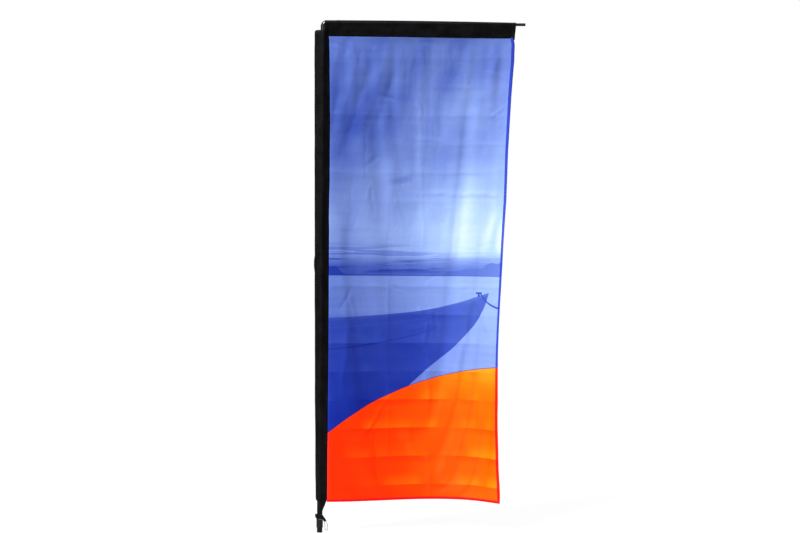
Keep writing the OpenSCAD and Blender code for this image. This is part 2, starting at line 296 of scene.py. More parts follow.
class Paint:
    """A material whose Principled shader is driven by formulas."""

    def __init__(self, name, roughness, metallic=0.0, sheen=0.0, sheen_roughness=0.5, coat=0.0, specular=0.5):
        self.material = bpy.data.materials.new(name)
        self.material.use_nodes = True
        self.tree = self.material.node_tree
        self.shader = self.tree.nodes["Principled BSDF"]
        fixed = {
            "Roughness": roughness, "Metallic": metallic, "Sheen Weight": sheen,
            "Sheen Roughness": sheen_roughness, "Coat Weight": coat, "Specular IOR Level": specular,
        }
        for socket, value in fixed.items():
            self.shader.inputs[socket].default_value = value

    def uv(self):
        node = self.tree.nodes.new("ShaderNodeUVMap")
        node.uv_map = "flat"
        split = self.tree.nodes.new("ShaderNodeSeparateXYZ")
        self.tree.links.new(node.outputs[0], split.inputs[0])
        return Value(self.tree, split.outputs[0]), Value(self.tree, split.outputs[1])

    def place(self):
        """The point on the object, in metres."""
        node = self.tree.nodes.new("ShaderNodeTexCoord")
        split = self.tree.nodes.new("ShaderNodeSeparateXYZ")
        self.tree.links.new(node.outputs["Object"], split.inputs[0])
        return [Value(self.tree, s) for s in split.outputs]

    def join(self, x, y, z=0.0):
        node = self.tree.nodes.new("ShaderNodeCombineXYZ")
        for socket, value in zip(node.inputs, (x, y, z)):
            if isinstance(value, Value):
                self.tree.links.new(value.socket, socket)
            else:
                socket.default_value = value
        return node.outputs[0]

    def noise(self, x, y, z=0.0, scale=1.0, detail=3.0, roughness=0.5, distortion=0.0):
        node = self.tree.nodes.new("ShaderNodeTexNoise")
        self.tree.links.new(self.join(x, y, z), node.inputs["Vector"])
        given = {"Scale": scale, "Detail": detail, "Roughness": roughness, "Distortion": distortion}
        for name, value in given.items():
            node.inputs[name].default_value = value
        return Value(self.tree, node.outputs["Fac"])

    def mix(self, factor, a, b):
        """Colour a where factor is 0 and b where it is 1."""
        node = self.tree.nodes.new("ShaderNodeMix")
        node.data_type, node.clamp_factor = "RGBA", True
        for socket, value in zip((node.inputs[0], node.inputs[6], node.inputs[7]), (factor, a, b)):
            if isinstance(value, Value):
                self.tree.links.new(value.socket, socket)
            elif hasattr(value, "links"):
                self.tree.links.new(value, socket)
            else:
                socket.default_value = value
        return node.outputs[2]

    def ramp_color(self, value, stops):
        """A colour from (place, (r, g, b)) stops, with r, g and b in sRGB."""
        node = self.tree.nodes.new("ShaderNodeValToRGB")
        stops_made = node.color_ramp.elements
        while len(stops_made) < len(stops):
            stops_made.new(0.5)
        for made, (at, color) in zip(stops_made, stops):
            made.position, made.color = at, srgb(*color)
        self.tree.links.new(value.socket, node.inputs[0])
        return node.outputs[0]

    def color(self, socket):
        self.tree.links.new(socket, self.shader.inputs["Base Color"])

    def rough(self, value):
        self.tree.links.new(value.socket, self.shader.inputs["Roughness"])

    def bump(self, height, distance, strength=1.0):
        node = self.tree.nodes.new("ShaderNodeBump")
        node.inputs["Distance"].default_value = distance
        node.inputs["Strength"].default_value = strength
        self.tree.links.new(height.socket, node.inputs["Height"])
        self.tree.links.new(node.outputs[0], self.shader.inputs["Normal"])


def weave(x, y, pitch):
    """Height of a plain weave, 0 to 1, with the given thread pitch in metres."""
    turn = 2 * math.pi / pitch
    warp, weft = (x * turn).sine(), (y * turn).sine()
    return (warp * weft) * 0.5 + 0.5


def stitches(across, along, at, pitch=0.003, width=0.0005):
    """1 on a row of stitches: a line at a distance, cut into dashes along it."""
    line = (across - at).size().ramp(width * 0.6, width, 1, 0)
    dash = ((along / pitch).wrap(1.0) - 0.5).size().ramp(0.30, 0.40, 1, 0)
    return line * dash


# ---------------------------------------------------------------- printed panel

def belly(share):
    """How far the panel hangs back, at a share of its height."""
    share = np.asarray(share, float)
    return (BELLY_HEAD * (1 - np.exp(-share / BELLY_QUICK)) + BELLY_GROWTH * share
            - BELLY_GATHER * share ** GATHER_POWER)


def seam_x(z):
    """Where the pocket's seam is at a height."""
    return SEAM_SIDE - (SEAM_SIDE - SEAM_TOP) * np.exp((np.asarray(z) - pocket_high.z) / SEAM_EASE)


def fold_x(z):
    """How far the pocket's folded edge stands off the pole's axis at a height."""
    share = (z - pocket_low.z) / (pocket_high.z - pocket_low.z)
    return FOLD_BOTTOM + (FOLD_TOP - FOLD_BOTTOM) * max(share, 0) ** FOLD_POWER


# Long soft folds: from X, Y to X, Y on the flat cloth, width and height, all in millimetres.
# Y runs down from the sleeve, and a height above 0 stands towards the viewer.
FOLDS = [
    (55, 140, 8, 440, 20, -4.0), (180, 140, 65, 520, 24, -5.0), (300, 150, 215, 400, 22, -4.0),
    (120, 110, 40, 430, 24, 3.0), (270, 30, 150, 420, 26, 4.0), (40, 0, 28, 140, 12, 2.5),
    (70, 10, 72, 90, 10, -2.0), (100, 15, 135, 170, 7, 1.6), (395, 5, 425, 120, 7, 2.4),
    (380, 80, 358, 150, 7, 1.5), (440, 15, 452, 160, 7, 1.6), (535, 15, 545, 150, 9, 1.8),
    (600, 30, 575, 200, 20, -2.5), (770, 50, 685, 310, 24, 4.0), (690, 300, 655, 480, 28, 4.0),
    (740, 330, 700, 560, 24, -3.0), (402, 270, 418, 330, 6, 2.2), (418, 330, 408, 365, 6, 2.2),
    (408, 365, 428, 450, 6, 2.2), (425, 290, 440, 350, 7, -2.0), (470, 330, 515, 450, 12, 2.2),
    (415, 450, 432, 720, 8, 1.8), (432, 720, 445, 960, 10, 1.6), (605, 600, 590, 1010, 18, 3.0),
    (165, 440, 168, 620, 7, -1.6), (110, 620, 90, 980, 26, -3.0), (300, 560, 250, 1000, 30, 3.0),
    (540, 520, 520, 980, 26, -3.0), (720, 620, 735, 1100, 22, 3.0), (785, 500, 775, 900, 10, 2.0),
    (430, 1210, 470, 1290, 7, 2.4), (470, 1290, 455, 1380, 7, 2.2), (500, 1230, 520, 1350, 9, -2.0),
    (360, 1330, 440, 1420, 12, 2.0), (690, 1150, 770, 1330, 12, 2.4), (640, 1350, 600, 1560, 14, 2.0),
    (305, 1600, 165, 1800, 10, 2.2), (460, 1500, 482, 1640, 9, 2.2), (600, 1610, 622, 1740, 8, 2.2),
    (690, 1600, 705, 1780, 12, -2.0), (380, 1750, 395, 1900, 12, 1.8), (560, 1800, 540, 2000, 14, 1.8),
    (720, 1850, 700, 2040, 12, 2.0), (220, 1850, 240, 2040, 14, -1.8), (90, 1300, 60, 1620, 18, 2.5),
    (430, 697, 800, 704, 12, 3.2), (390, 455, 545, 462, 9, 2.0), (5, 615, 260, 626, 14, 1.8),
]
# How far the free edge strays from its smooth line, at shares of the panel's height.
EDGE_STRAY = (
    (0, 0), (0.015, 0.007), (0.05, 0.009), (0.13, 0), (0.24, -0.004), (0.35, 0.001), (0.46, -0.002),
    (0.57, -0.002), (0.68, 0), (0.78, 0.0085), (0.89, 0.010), (0.96, 0.006), (1, 0.001),
)
# The creases that packing has left: their spacing and first place down the panel, and the columns across it.
PACK_PITCH, PACK_FIRST = 0.1285, 0.092
PACK_COLUMNS = (0.0, 0.285, 0.475, 0.655, 0.83)


def stroke(x, y, fold, seed):
    """Height of one fold, with a little wander along it."""
    x0, y0, x1, y1, width, height = (v / 1000 for v in fold)
    length = math.hypot(x1 - x0, y1 - y0)
    tx, ty = (x1 - x0) / length, (y1 - y0) / length
    t = ((x - x0) * tx + (y - y0) * ty) / length
    d = (x - x0) * ty - (y - y0) * tx
    stray = np.minimum(0.30 * width, 0.003)
    d = d + stray * (np.sin(t * length * 38 + seed * 1.7) + 0.5 * np.sin(t * length * 95 + seed * 3.1))
    ends = ease(-0.12, 0.25, t) * (1 - ease(0.75, 1.12, t))
    return height * ends * np.exp(-np.abs(d / width) ** 1.5)


def wrinkles(x, y):
    """Folds, packing creases and small crumples, in metres towards the viewer, over the flat cloth."""
    height = np.zeros_like(x)
    for k, fold in enumerate(FOLDS):
        height += (0.85 + 0.5 * ease(0.9, 1.3, y)) * stroke(x, y, fold, k)
    rng = np.random.default_rng(11)
    for k in range(90):
        x0, y0 = rng.uniform(0.03, FLAG_W - 0.03), rng.uniform(0.02, FLAG_H - 0.05)
        turn = rng.normal(0, 0.45) + (math.pi / 2 if k % 3 == 0 else 0)
        length, width = rng.uniform(0.04, 0.15), rng.uniform(5, 10)
        x1, y1 = x0 - length * math.sin(turn), y0 + length * math.cos(turn)
        fold = (x0 * 1000, y0 * 1000, x1 * 1000, y1 * 1000, width, rng.normal(0, 1.3))
        height += stroke(x, y, fold, k + 50)
    gather = np.sin(x * 62 + 1.3 * np.sin(x * 17)) + 0.6 * np.sin(x * 118 + 2)
    height += 0.0015 * gather * ease(0, 0.07, y) * (1 - ease(0.12, 0.5, y))
    count = len(PACK_COLUMNS) - 1
    for k in range(16):
        at = PACK_FIRST + PACK_PITCH * k
        strength = 0 * x
        for m in range(count):
            left, right = PACK_COLUMNS[m:m + 2]
            share = ease(left - 0.012, left + 0.012, x) - ease(right - 0.012, right + 0.012, x)
            strength += rng.uniform(0.15, 1.25) * share * (1 if m + 1 < count or k % 2 else 0.7)
        d = np.abs(y - at - 0.0012 * np.sin(x * 31 + k))
        strength *= 0.4 + 0.6 * ease(0.9, 1.3, y) * (0.4 + 0.6 * ease(0.1, 0.35, x))
        height += strength * (0.0030 * np.exp(-d / 0.030) + 0.0016 * np.exp(-d / 0.008))
    for m, at in enumerate(PACK_COLUMNS[1:-1]):
        d = np.abs(x - at - 0.003 * np.sin(y * 9 + m))
        crease = 0.0020 * np.exp(-d / 0.024) + 0.0014 * np.exp(-d / 0.007)
        height += crease * (0.5 + 0.5 * np.sin(y * 12 + 2 * m)) * ease(0.9, 1.3, y)
    return height


def panel_points(across, down, wrinkled):
    """Points of the hanging panel. Rows keep their flat length, so the free edge comes in with the belly."""
    depth = belly(down) * np.sin(math.pi * across ** (1 + BELLY_SKEW * down))
    if wrinkled:
        edge = ease(0, 0.02, across) * ease(0, 0.012, down)
        edge = edge * (1 - 0.5 * ease(0.975, 0.99, across)) * (1 - 0.5 * ease(0.992, 0.997, down))
        depth = depth - wrinkles(across * FLAG_W, down * FLAG_H) * edge
    z = FLAG_TOP - (FLAG_H + FLAG_SAG + EDGE_SAG * ease(0.75, 1, across)) * down
    step = FLAG_W / (across.shape[1] - 1)
    rise = np.diff(depth, axis=1)
    run = np.cumsum(np.sqrt(np.maximum(step ** 2 - rise ** 2, (0.3 * step) ** 2)), axis=1)
    ends, rows = run[:, -1], len(z)
    reach = np.arange(-rows // 16, rows // 16 + 1)
    spread = np.exp(-(reach / (rows / 40)) ** 2)
    spread /= spread.sum()
    smooth = sum(w * ends[np.clip(np.arange(rows) + k, 0, rows - 1)] for k, w in zip(reach, spread))
    smooth = smooth + np.interp(down[:, 0], *zip(*EDGE_STRAY))
    x = seam_x(z)
    x[:, 1:] += run * (smooth / ends)[:, None]
    x[:, 0] -= SEAM_LAP
    return np.stack([x, depth, z], axis=-1)


def blurred(field, cells):
    """The field averaged over neighbours both ways."""
    weights = np.exp(-(np.arange(-2 * cells, 2 * cells + 1) / cells) ** 2)
    weights /= weights.sum()
    for axis in (0, 1):
        rows = field.shape[axis]
        places = [np.clip(np.arange(rows) + k - 2 * cells, 0, rows - 1) for k in range(len(weights))]
        field = sum(w * np.take(field, at, axis) for at, w in zip(places, weights))
    return field


# The simulation's length in frames, how much longer the cloth is cut than it hangs, the cells over which its
# large shifts are taken out, and the largest shift that is left.
SIM_FRAMES, SIM_CUT, SIM_CELLS, SIM_LIMIT = 36, 1.005, 7, 0.006


def drape(points, across, down):
    """Small wrinkles, as a shift of each point, from a simulation of the cloth under its own weight."""
    rows, columns = across.shape
    obj = mesh_object("draped", points.reshape(-1, 3), grid_faces(rows, columns))
    held = np.maximum.reduce([
        1 - ease(0.0, 0.012, across), 1 - ease(0.0, 0.006, down), 0.03 + 0 * across,
        0.30 * (1 - ease(0.0, 0.02, 1 - across)), 0.15 * (1 - ease(0.0, 0.02, 1 - down)),
    ]).ravel()
    group = obj.vertex_groups.new(name="held")
    for i, weight in enumerate(held):
        group.add([i], float(weight), "REPLACE")
    obj.shape_key_add(name="Basis")
    flat = obj.shape_key_add(name="cut")
    flat.data.foreach_set("co", (points * (1, 1, SIM_CUT)).reshape(-1))
    mod = obj.modifiers.new("cloth", "CLOTH")
    cloth = mod.settings
    cloth.quality, cloth.mass, cloth.air_damping = 5, 0.08, 2.0
    cloth.tension_stiffness = cloth.compression_stiffness = 25
    cloth.shear_stiffness, cloth.bending_stiffness = 12, 0.35
    cloth.tension_damping = cloth.compression_damping = cloth.shear_damping = 8
    cloth.bending_damping = 0.5
    cloth.vertex_group_mass, cloth.pin_stiffness = "held", 0.6
    cloth.rest_shape_key = flat
    mod.collision_settings.use_collision = False
    scene.frame_start, scene.frame_end = 1, SIM_FRAMES
    mod.point_cache.frame_start, mod.point_cache.frame_end = 1, SIM_FRAMES
    for f in range(1, SIM_FRAMES + 1):
        scene.frame_set(f)
    graph = bpy.context.evaluated_depsgraph_get()
    shown = obj.evaluated_get(graph).to_mesh()
    moved = np.zeros(len(shown.vertices) * 3)
    shown.vertices.foreach_get("co", moved)
    obj.evaluated_get(graph).to_mesh_clear()
    scene.frame_set(1)
    bpy.data.objects.remove(obj)
    shift = moved.reshape(points.shape) - points
    free = ease(0, 0.3, across) * ease(0, 0.02, down) * ease(0, 0.02, 1 - down)
    free = free * (0.4 + 0.6 * ease(0, 0.04, 1 - across))
    shift = (shift - blurred(shift, SIM_CELLS)) * free[..., None]
    size = np.linalg.norm(shift, axis=-1, keepdims=True) + 1e-9
    return shift * SIM_LIMIT * np.tanh(size / SIM_LIMIT) / size


def refine(coarse):
    """Twice as many points each way, on smooth lines through the coarse ones."""
    for axis in (0, 1):
        c = np.moveaxis(coarse, axis, 0)
        before, after = np.concatenate([c[:1], c[:-2]]), np.concatenate([c[2:], c[-1:]])
        fine = np.zeros((2 * len(c) - 1,) + c.shape[1:])
        fine[::2], fine[1::2] = c, (9 * (c[:-1] + c[1:]) - before - after) / 16
        coarse = np.moveaxis(fine, 0, axis)
    return coarse


PANEL_COLUMNS, PANEL_ROWS = 139, 349


def make_panel():
    columns, rows = PANEL_COLUMNS, PANEL_ROWS
    across, down = np.meshgrid(np.linspace(0, 1, columns), np.linspace(0, 1, rows))
    points = panel_points(across, down, True)
    coarse = across[::2, ::2], down[::2, ::2]
    points += refine(drape(panel_points(*coarse, False), *coarse))
    uv_points = np.stack([across * FLAG_W, down * FLAG_H], axis=-1).reshape(-1, 2)
    faces = grid_faces(rows, columns)
    obj = mesh_object("panel", points.reshape(-1, 3), faces, uv_points[np.array(faces).ravel()])
    hem = obj.vertex_groups.new(name="hem")
    in_hem = ((across > 1 - HEM_W / FLAG_W) | (down > 1 - BOTTOM_HEM_W / FLAG_H)).ravel()
    hem.add([int(i) for i in np.nonzero(in_hem)[0]], 1.0, "REPLACE")
    thicken(obj, PANEL_T, 0.0, "hem", 0.4)
    obj.data.materials.append(printed_cloth())
    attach(obj, "banner")
    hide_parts("flag_panel")
    return obj


# Soft bands of light and shade in the sky: from X, Y to X, Y and half-width in millimetres, and amount.
SKY_BANDS = [
    (290, 140, 150, 365, 70, -0.04), (150, 340, 25, 555, 55, -0.05), (55, 100, 10, 270, 50, -0.02),
    (230, 100, 100, 320, 45, 0.03), (570, 120, 525, 270, 75, -0.06), (670, 190, 615, 365, 90, 0.05),
    (680, 300, 635, 520, 80, 0.05), (428, 265, 406, 695, 32, 0.05), (385, 630, 280, 650, 24, -0.07),
    (528, 450, 508, 620, 65, -0.05), (150, 605, 55, 1000, 50, -0.035), (635, 680, 580, 1000, 55, 0.045),
    (780, 760, 725, 960, 38, 0.10), (295, 520, 185, 670, 65, 0.04), (440, 715, 428, 890, 55, 0.04),
    (200, 420, 175, 520, 45, -0.03),
]


def soft_band(x, y, band):
    """The amount of one band at a point."""
    x0, y0, x1, y1, half = (v / 1000 for v in band[:5])
    length = math.hypot(x1 - x0, y1 - y0)
    tx, ty = (x1 - x0) / length, (y1 - y0) / length
    along = (x - x0) * tx + (y - y0) * ty
    across = ((x - x0) * ty - (y - y0) * tx).size()
    ends = along.ramp(-0.15 * length, 0.35 * length) * along.ramp(0.65 * length, 1.15 * length, 1, 0)
    return across.ramp(0, half, band[5], 0) * ends


def printed_cloth():
    """A plain seascape: sky, far hills, water, a bow with its line, and a warm field below a curve."""
    p = Paint("printed_cloth", 0.42, sheen=0.0, sheen_roughness=0.4, specular=0.05)
    x, y = p.uv()
    u, v = x / FLAG_W, y / FLAG_H

    # sky: slanting bands, darker at the upper left, that open to a pale glow above the water
    slant, run = x + y * 0.31, y - x * 0.31
    bands = p.noise(slant * 7.0, run * 1.2, 3.0, scale=1.0, detail=2, roughness=0.45, distortion=0.3)
    clouds = p.noise(x * 3.0, y * 4.5, 7.0, scale=1.0, detail=5, roughness=0.6, distortion=0.3)
    wisps = p.noise(x * 3.5, y * 20.0, 8.0, scale=1.0, detail=5, roughness=0.6)
    sky = v.curve([
        (0, 0.36), (0.08, 0.365), (0.17, 0.35), (0.26, 0.41), (0.36, 0.505), (0.44, 0.54), (0.48, 0.415),
        (0.505, 0.27), (1, 0.27),
    ])
    slope = v.curve([
        (0, 0.06), (0.08, 0.10), (0.14, 0.20), (0.26, 0.17), (0.44, 0.17), (0.5, 0.19), (1, 0.19),
    ])
    sky = sky + (u - 0.3) * slope + (bands - 0.5) * v.ramp(0.0, 0.38, 0.20, 0.10)
    sky = sky + (clouds - 0.5) * 0.15 + (wisps - 0.5) * 0.08
    for band in SKY_BANDS:
        sky = sky + soft_band(x, y, band)
    shaft = (u - 0.775 + (v - 0.40) * 0.10).size().ramp(0.0, 0.085, 1, 0)
    shaft = shaft * v.ramp(0.20, 0.36) * v.ramp(0.455, 0.495, 1, 0)
    halo = (u - 0.72).size().ramp(0.0, 0.36, 1, 0) * v.ramp(0.22, 0.40) * v.ramp(0.46, 0.50, 1, 0)
    edge_light = u.ramp(0.93, 0.985) * v.ramp(0.36, 0.43) * v.ramp(0.445, 0.475, 1, 0)
    sky = sky + shaft * 0.06 + halo * 0.065 + edge_light * 0.17
    streak = p.noise(x * 2.6, y * 48.0, 5.0, scale=1.0, detail=5, roughness=0.55, distortion=0.4)
    low_cloud = streak.ramp(0.49, 0.56) * v.ramp(0.435, 0.46) * v.ramp(0.50, 0.512, 1, 0)
    sky = sky - low_cloud * u.ramp(0.45, 0.75, 1, 0.3) * 0.11

    # hills along the horizon
    ridge = p.noise(u * 18.0, 0.0, 1.5, scale=1.0, detail=5, roughness=0.55)
    left_hill = u.ramp(0.03, 0.095, 0.018, 0.0)
    right_hill = u.ramp(0.58, 0.80, 0.002, 0.018) + u.ramp(0.84, 0.96, 0.0, 0.020)
    hill = v - (0.5125 - left_hill * (0.8 + ridge * 0.4) - right_hill * (0.35 + ridge * 0.9))
    tone = sky + (hill.ramp(-0.0006, 0.0008)) * (v.ramp(0.51, 0.5125, 0.0, 0.02) + u * 0.26 + 0.13 - sky)

    # water
    ripple = p.noise(x * 2.2, y * 60.0, 2.0, scale=1.0, detail=4, roughness=0.6)
    water = u * 0.22 + 0.385 - (v - 0.513) * 0.48 + (ripple - 0.5) * 0.07 + (clouds - 0.5) * 0.08
    tone = tone + v.ramp(0.5122, 0.5132) * (water - tone)
    tone = tone - (v - 0.5130).size().ramp(0.0004, 0.0016, 0.16, 0)

    # bow of a plain wooden boat that comes in from the left
    rail = u.curve([(0, 0.604), (0.30, 0.598), (0.60, 0.584), (0.92, 0.548), (1, 0.536)])
    keel = u.curve([
        (0, 0.96), (0.30, 0.815), (0.55, 0.722), (0.75, 0.655), (0.88, 0.592), (0.92, 0.548), (1, 0.44),
    ])
    hull = (v - rail).ramp(-0.0006, 0.0008) * (keel - v).ramp(-0.0006, 0.0010) * u.ramp(0.914, 0.920, 1, 0)
    shade = p.noise(x * 3.0, y * 9.0, 4.0, scale=1.0, detail=5, roughness=0.6)
    plank = 0.185 - (v - rail) * 0.48 + (shade - 0.5) * 0.09 + (u - 0.45).ramp(0.0, 0.4, 0.0, 0.10)
    seam = u.curve([(0, 0.672), (0.3, 0.658), (0.6, 0.628), (0.9, 0.560), (1, 0.54)])
    plank = plank - (v - seam).size().ramp(0.0008, 0.0030, 0.035, 0) * u.ramp(0.45, 0.7, 1, 0.2)
    strake = u.curve([(0, 0.626), (0.3, 0.618), (0.6, 0.600), (0.9, 0.554), (1, 0.54)])
    plank = plank + (v - strake).size().ramp(0.0005, 0.0020, 0.018, 0) + (v - rail).ramp(0.0, 0.010, 0.035, 0)
    tone = tone + hull * (plank - tone)

    # slack mooring line from a cleat on the bow out past the free edge
    slack = u.curve([(0, 0.56), (0.86, 0.549), (0.90, 0.566), (0.94, 0.576), (1, 0.582)])
    line = (v - slack).size().ramp(0.0012, 0.0026, 1, 0) * u.ramp(0.862, 0.870)
    cleat = (u - 0.858).size().ramp(0.016, 0.018, 1, 0) * (v - 0.5495).size().ramp(0.0012, 0.0022, 1, 0)
    stem = (u - 0.858).size().ramp(0.005, 0.0065, 1, 0) * v.ramp(0.5490, 0.5500) * v.ramp(0.556, 0.558, 1, 0)
    line = line.most(cleat.most(stem))
    tone = tone + line * 0.92 * (0.17 + (shade - 0.5) * 0.06 - tone)

    # painted light and shade along the packing creases: paler just above each, where the ridge faces the
    # light from above, deeper just below, where it faces away
    turn = (y - PACK_FIRST) / PACK_PITCH
    fold = turn.wrap(1.0)
    cell = turn - fold
    patch = p.noise(x * 4.5, cell * 2.3, 12.0, scale=1.0, detail=2)
    above, below = fold.ramp(0.45, 1.0), fold.ramp(0.0, 0.30, 1, 0)
    painted_crease_light_shade = above * patch.ramp(0.42, 0.62) - below * patch.ramp(0.42, 0.60) * 0.6
    painted_crease_light_shade = painted_crease_light_shade * v.ramp(0.5, 0.72, 0.15, 1.0)
    tone = tone + painted_crease_light_shade * 0.04
    blues = p.ramp_color(tone, [
        (0.06, (13, 30, 130)), (0.11, (24, 43, 139)), (0.18, (39, 59, 151)), (0.28, (61, 82, 163)),
        (0.35, (78, 100, 175)), (0.46, (103, 125, 190)), (0.57, (127, 151, 207)), (0.69, (153, 178, 226)),
        (0.78, (175, 193, 231)), (0.87, (195, 204, 232)), (0.95, (211, 216, 236)),
    ])

    # warm field under a rising curve
    sweep = u.curve([(0, 0.852), (0.18, 0.803), (0.36, 0.769), (0.55, 0.742), (0.75, 0.722), (1, 0.708)])
    warm_noise = p.noise(x * 3.0, y * 4.0, 6.0, scale=1.0, detail=4)
    # the painted crease light and shade also shifts the warm field: warmer just above each crease, redder
    # just below
    warmth = u * 0.58 + (0.90 - v) * 0.65 + (warm_noise - 0.5) * 0.28 + painted_crease_light_shade * 0.24
    warmth = warmth + (v - sweep).ramp(0.0, 0.07, 0.22, 0) * u.ramp(0.45, 0.75)
    warm = p.ramp_color(warmth, [
        (0.0, (252, 38, 0)), (0.24, (252, 52, 0)), (0.48, (252, 76, 1)), (0.74, (252, 106, 5)),
        (1.0, (252, 144, 30)),
    ])
    field = (v - sweep).ramp(-0.0001, 0.0002)
    meeting = (v - sweep).size().ramp(0.0004, 0.0016, 0.75, 0)
    tone = p.mix(meeting, p.mix(field, blues, warm), srgb(66, 34, 60))

    # two layers of print lie on each other in the hems, so they are deeper in colour
    side_hem = (FLAG_W - x).ramp(HEM_W - 0.0008, HEM_W + 0.0004, 1, 0)
    low_hem = (FLAG_H - y).ramp(BOTTOM_HEM_W - 0.0008, BOTTOM_HEM_W + 0.0004, 1, 0)
    hem = side_hem.most(low_hem)
    hem_tone = p.mix(field, srgb(33, 52, 166), srgb(245, 4, 0))
    tone = p.mix(hem * 0.94, tone, hem_tone)
    thread = stitches(FLAG_W - x, y, HEM_W - 0.002).most(stitches(FLAG_H - y, x, BOTTOM_HEM_W - 0.002))
    thread = thread.most(stitches(y, x, 0.007)).most(stitches(x, y, 0.004))
    tone = p.mix(thread * 0.35, tone, srgb(60, 70, 150))
    p.color(tone)

    knit = weave(x, y, 0.0009)
    slub = p.noise(x, y, 0.0, scale=420.0, detail=2)
    crush = p.noise(x * 26.0, y * 15.0, 1.0, scale=1.0, detail=4, roughness=0.6, distortion=1.2)
    p.rough(0.38 + slub * 0.10 + knit * 0.04)
    p.bump(knit * 0.03 + slub * 0.03 - thread * 0.10 + hem * 0.04 + crush * 0.9, 0.0022, 0.6)
    return p.material


# ---------------------------------------------------------------- pocket and sleeve

# Widths of the pocket's and the sleeve's cloth when flat.
# How wide each is sewn flat along its seam.
POCKET_SEWN, SLEEVE_SEWN, BINDING_SEWN = 0.007, 0.006, 0.010
# Radii inside the sleeve and the binding, round the arm.
SLEEVE_R, BINDING_R = 0.0084, 0.0092
# The sleeve's left end, and the end of its corner over the elbow.
SLEEVE_LEFT, CORNER_END = 0.0065, 0.0235
# Height of the bulge over the pole's joint.
BULGE_Z = 1.206
ROUND_STEPS = 14


def pull_outline(a, b, r, flat, steps):
    """A cloth tube pulled round a rod of radius r: folded at distance a, sewn flat at distance b."""
    start, end = math.acos(min(r / b, 1)), math.pi - math.acos(min(r / a, 1))
    side = [(b, 0.0004), (b - flat, 0.0007)]
    tangent = (r * math.cos(start), r * math.sin(start))
    for t in (0.3, 0.6, 0.85):
        side.append((b - flat + (tangent[0] - b + flat) * t, 0.0007 + (tangent[1] - 0.0007) * t))
    turns = [start + (end - start) * k / steps for k in range(steps + 1)]
    side += [(r * math.cos(turn), r * math.sin(turn)) for turn in turns]
    far = side[-1]
    side += [(far[0] + (-a - far[0]) * t, far[1] * (1 - t)) for t in (0.2, 0.4, 0.6, 0.8, 0.93)]
    side.append((-a, 0.0002))
    return side + [(x, -y) for x, y in reversed(side)]


def make_pocket():
    rows = 330
    heights = np.linspace(pocket_low.z - 0.001, pocket_high.z - 0.0005, rows)
    rings = []
    for z in heights:
        below_top, above_bottom = pocket_high.z - z, z - heights[0]
        corner = 0.006 * (1 - ease(0, 0.008, below_top)) + 0.0035 * (1 - ease(0, 0.005, above_bottom))
        bulge = 0.0035 * math.exp(-(((z - BULGE_Z) / 0.030) ** 4))
        sway = 0.0008 * waves(z * 6, 0, 3)
        right = 0.0012 * waves(z * 4, 5, 8) * ease(0, 0.1, below_top)
        r = FERRULE_R + 0.0006 if z < ferrule_high.z + 0.02 else POLE_R + 0.0016
        folded, sewn = fold_x(z) - corner + bulge + sway, float(seam_x(z)) + right
        outline = pull_outline(folded, sewn, r, POCKET_SEWN, ROUND_STEPS)
        ring = []
        for x, y in outline:
            loose = float(ease(0.2, 1.0, (math.hypot(x, y) - r) / 0.010))
            ripple = 0.0014 * loose * waves(z * 14 + x * 20, x * 22 + (5 if y > 0 else 0), 4)
            pucker = 0.0006 * waves(z * 60, x * 60 + (3 if y > 0 else 0), 5)
            pucker = pucker + 0.0004 * waves(z * 25, x * 10, 9)
            side = 1 if y > 0 else -1
            inside = 0 if abs(y) < 0.001 else 1
            ring.append((x, y + side * inside * (max(ripple, -0.0006) + max(pucker, -0.0001)), z))
        rings.append(ring)
    obj = loft("pocket", rings, heights - heights[0])
    thicken(obj, CLOTH_T, 1.0)
    obj.data.materials.append(black_cloth("pocket_cloth", heights[-1] - heights[0], 0.013))
    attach(obj, "banner")
    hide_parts("pole_pocket")
    return obj


def sleeve_drop(x):
    """How far the sleeve's seam hangs below the arm's axis."""
    return ARM_Z - FLAG_TOP + 0.0015 + 0.0035 * float(ease(0.3, 0.86, x))


def sleeve_crease(x):
    """How far the pressed upper edge of the sleeve stands off the arm."""
    rise = 0.0008 + 0.0050 * float(ease(0.055, 0.085, x))
    return rise - 0.0052 * float(np.clip((x - 0.33) / 0.53, 0, 1)) ** 1.6


def make_sleeve():
    left, right = SLEEVE_LEFT, binding_low.x + 0.002
    count = 220
    stations = np.concatenate([np.linspace(left, CORNER_END, 5), np.linspace(0.0240, right, count)])
    elbow_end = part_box("elbow")[1].x
    rings = []
    for x in stations:
        over_elbow = 1 - float(ease(elbow_end + 0.001, elbow_end + 0.022, x))
        r = SLEEVE_R + (POLE_R + 0.0005 - SLEEVE_R) * over_elbow
        low = sleeve_drop(x) if x > CORNER_END else ARM_Z - pocket_high.z + 0.0018
        low = max(low, r + 0.002)
        ring = []
        for down, y in pull_outline(r + sleeve_crease(x), low, r, SLEEVE_SEWN, ROUND_STEPS):
            loose = float(ease(0.1, 1.0, (math.hypot(down, y) - r) / 0.012)) if down > 0 else 0
            large = 0.0026 * waves(x * 13 + down * 6, (4 if y > 0 else 0), 6)
            fold = loose * (large + 0.0009 * waves(x * 55 + down * 30, down * 9, 12))
            side = 1 if y > 0 else -1
            inside = 0 if abs(y) < 0.001 else 1
            ring.append((x, y + side * inside * max(fold, -0.0008), ARM_Z - down))
        rings.append(ring)
    obj = loft("sleeve", rings, stations - left)
    thicken(obj, CLOTH_T, 1.0)
    obj.data.materials.append(black_cloth("sleeve_cloth", right - left, 0.008))
    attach(obj, "banner")
    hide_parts("top_sleeve")
    return obj


